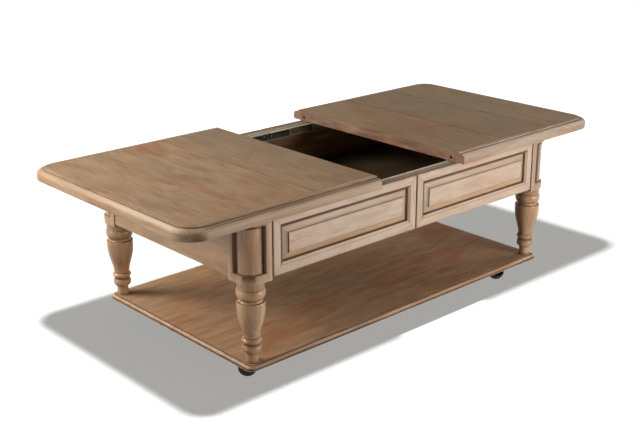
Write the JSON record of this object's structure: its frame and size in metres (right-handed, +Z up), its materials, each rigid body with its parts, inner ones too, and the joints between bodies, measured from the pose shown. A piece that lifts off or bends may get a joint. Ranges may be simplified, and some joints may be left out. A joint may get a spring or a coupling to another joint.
{
  "type": "sliding top coffee table",
  "caption": "Rolling coffee table with two lids that slide apart over a storage well, turned legs with inset corner columns, raised-panel sides and a low shelf.",
  "frame": {"origin": "on the floor under the middle of the table", "axes": "+X along the length to the right-hand lid, +Y to the back, +Z up"},
  "size_m": [1.603, 0.73, 0.512],
  "materials": {
    "lid_wood": "stained, glazed and satin lacquered",
    "case_wood": "stained, glazed and satin lacquered",
    "leg_wood": "stained, glazed and satin lacquered",
    "well_wood": "dark stained, matt",
    "dowel_wood": "bare",
    "slide_steel": "black zinc",
    "cage_steel": "zinc plated",
    "caster_plastic": "moulded",
    "caster_steel": "zinc plated"
  },
  "bodies": {
    "base": {"shelf": "leg_wood", "leg_front_left": "leg_wood", "column_front_left": "leg_wood", "front_left_panel_frame": "case_wood", "front_left_raised_panel": "case_wood", "slide_channel_front_left": "slide_steel", "caster_plate_front_left": "caster_steel", "leg_front_right": "leg_wood", "column_front_right": "leg_wood", "front_right_panel_frame": "case_wood", "front_right_raised_panel": "case_wood", "slide_channel_front_right": "slide_steel", "caster_plate_front_right": "caster_steel", "leg_rear_left": "leg_wood", "column_rear_left": "leg_wood", "rear_left_panel_frame": "case_wood", "rear_left_raised_panel": "case_wood", "slide_channel_rear_left": "slide_steel", "caster_plate_rear_left": "caster_steel", "leg_rear_right": "leg_wood", "column_rear_right": "leg_wood", "rear_right_panel_frame": "case_wood", "rear_right_raised_panel": "case_wood", "slide_channel_rear_right": "slide_steel", "caster_plate_rear_right": "caster_steel", "front_apron": "case_wood", "rear_apron": "case_wood", "left_end_apron": "leg_wood", "right_end_apron": "leg_wood", "well_floor": "well_wood"},
    "left_lid": {"left_lid_panel": "lid_wood", "left_lid_front_moulding": "lid_wood", "left_lid_rear_moulding": "lid_wood", "left_lid_end_moulding": "lid_wood", "alignment_dowel_front": "dowel_wood", "alignment_dowel_rear": "dowel_wood", "slide_carriage_front_left": "slide_steel", "lid_angle_front_left": "cage_steel", "slide_carriage_rear_left": "slide_steel", "lid_angle_rear_left": "cage_steel"},
    "left_ball_cages": {"ball_cage_front_left": "cage_steel", "ball_cage_rear_left": "cage_steel"},
    "right_lid": {"right_lid_panel": "lid_wood", "right_lid_front_moulding": "lid_wood", "right_lid_rear_moulding": "lid_wood", "right_lid_end_moulding": "lid_wood", "slide_carriage_front_right": "slide_steel", "lid_angle_front_right": "cage_steel", "slide_carriage_rear_right": "slide_steel", "lid_angle_rear_right": "cage_steel"},
    "right_ball_cages": {"ball_cage_front_right": "cage_steel", "ball_cage_rear_right": "cage_steel"},
    "caster_swivel_front_left": {"caster_housing_front_left": "caster_plastic"},
    "caster_wheels_front_left": {"caster_wheels_front_left": "caster_plastic"},
    "caster_swivel_front_right": {"caster_housing_front_right": "caster_plastic"},
    "caster_wheels_front_right": {"caster_wheels_front_right": "caster_plastic"},
    "caster_swivel_rear_left": {"caster_housing_rear_left": "caster_plastic"},
    "caster_wheels_rear_left": {"caster_wheels_rear_left": "caster_plastic"},
    "caster_swivel_rear_right": {"caster_housing_rear_right": "caster_plastic"},
    "caster_wheels_rear_right": {"caster_wheels_rear_right": "caster_plastic"}
  },
  "joints": [
    {"name": "left_lid_slide", "type": "slide", "parent": "base", "child": "left_lid", "axis": [-1, 0, 0], "range_m": [-0.166, 0]},
    {"name": "left_cage_slide", "type": "slide", "parent": "base", "child": "left_ball_cages", "axis": [-1, 0, 0], "range_m": [-0.083, 0]},
    {"name": "right_lid_slide", "type": "slide", "parent": "base", "child": "right_lid", "axis": [1, 0, 0], "range_m": [-0.166, 0]},
    {"name": "right_cage_slide", "type": "slide", "parent": "base", "child": "right_ball_cages", "axis": [1, 0, 0], "range_m": [-0.083, 0]},
    {"name": "swivel_front_left", "type": "hinge", "parent": "base", "child": "caster_swivel_front_left", "pos_m": [-0.4975, -0.221, 0.06], "axis": [0, 0, 1], "continuous": true},
    {"name": "roll_front_left", "type": "hinge", "parent": "caster_swivel_front_left", "child": "caster_wheels_front_left", "pos_m": [-0.5092, -0.21009, 0.025], "axis": [-0.682, -0.7314, 0], "continuous": true},
    {"name": "swivel_front_right", "type": "hinge", "parent": "base", "child": "caster_swivel_front_right", "pos_m": [0.4975, -0.221, 0.06], "axis": [0, 0, 1], "continuous": true},
    {"name": "roll_front_right", "type": "hinge", "parent": "caster_swivel_front_right", "child": "caster_wheels_front_right", "pos_m": [0.5092, -0.23191, 0.025], "axis": [0.682, 0.7314, 0], "continuous": true},
    {"name": "swivel_rear_left", "type": "hinge", "parent": "base", "child": "caster_swivel_rear_left", "pos_m": [-0.4975, 0.221, 0.06], "axis": [0, 0, 1], "continuous": true},
    {"name": "roll_rear_left", "type": "hinge", "parent": "caster_swivel_rear_left", "child": "caster_wheels_rear_left", "pos_m": [-0.4858, 0.21009, 0.025], "axis": [0.682, 0.7314, 0], "continuous": true},
    {"name": "swivel_rear_right", "type": "hinge", "parent": "base", "child": "caster_swivel_rear_right", "pos_m": [0.4975, 0.221, 0.06], "axis": [0, 0, 1], "continuous": true},
    {"name": "roll_rear_right", "type": "hinge", "parent": "caster_swivel_rear_right", "child": "caster_wheels_rear_right", "pos_m": [0.4858, 0.23191, 0.025], "axis": [-0.682, -0.7314, 0], "continuous": true}
  ],
  "couplings": [
    {"joint": "left_cage_slide", "follows": "left_lid_slide", "ratio": 0.5},
    {"joint": "right_cage_slide", "follows": "right_lid_slide", "ratio": 0.5}
  ]
}
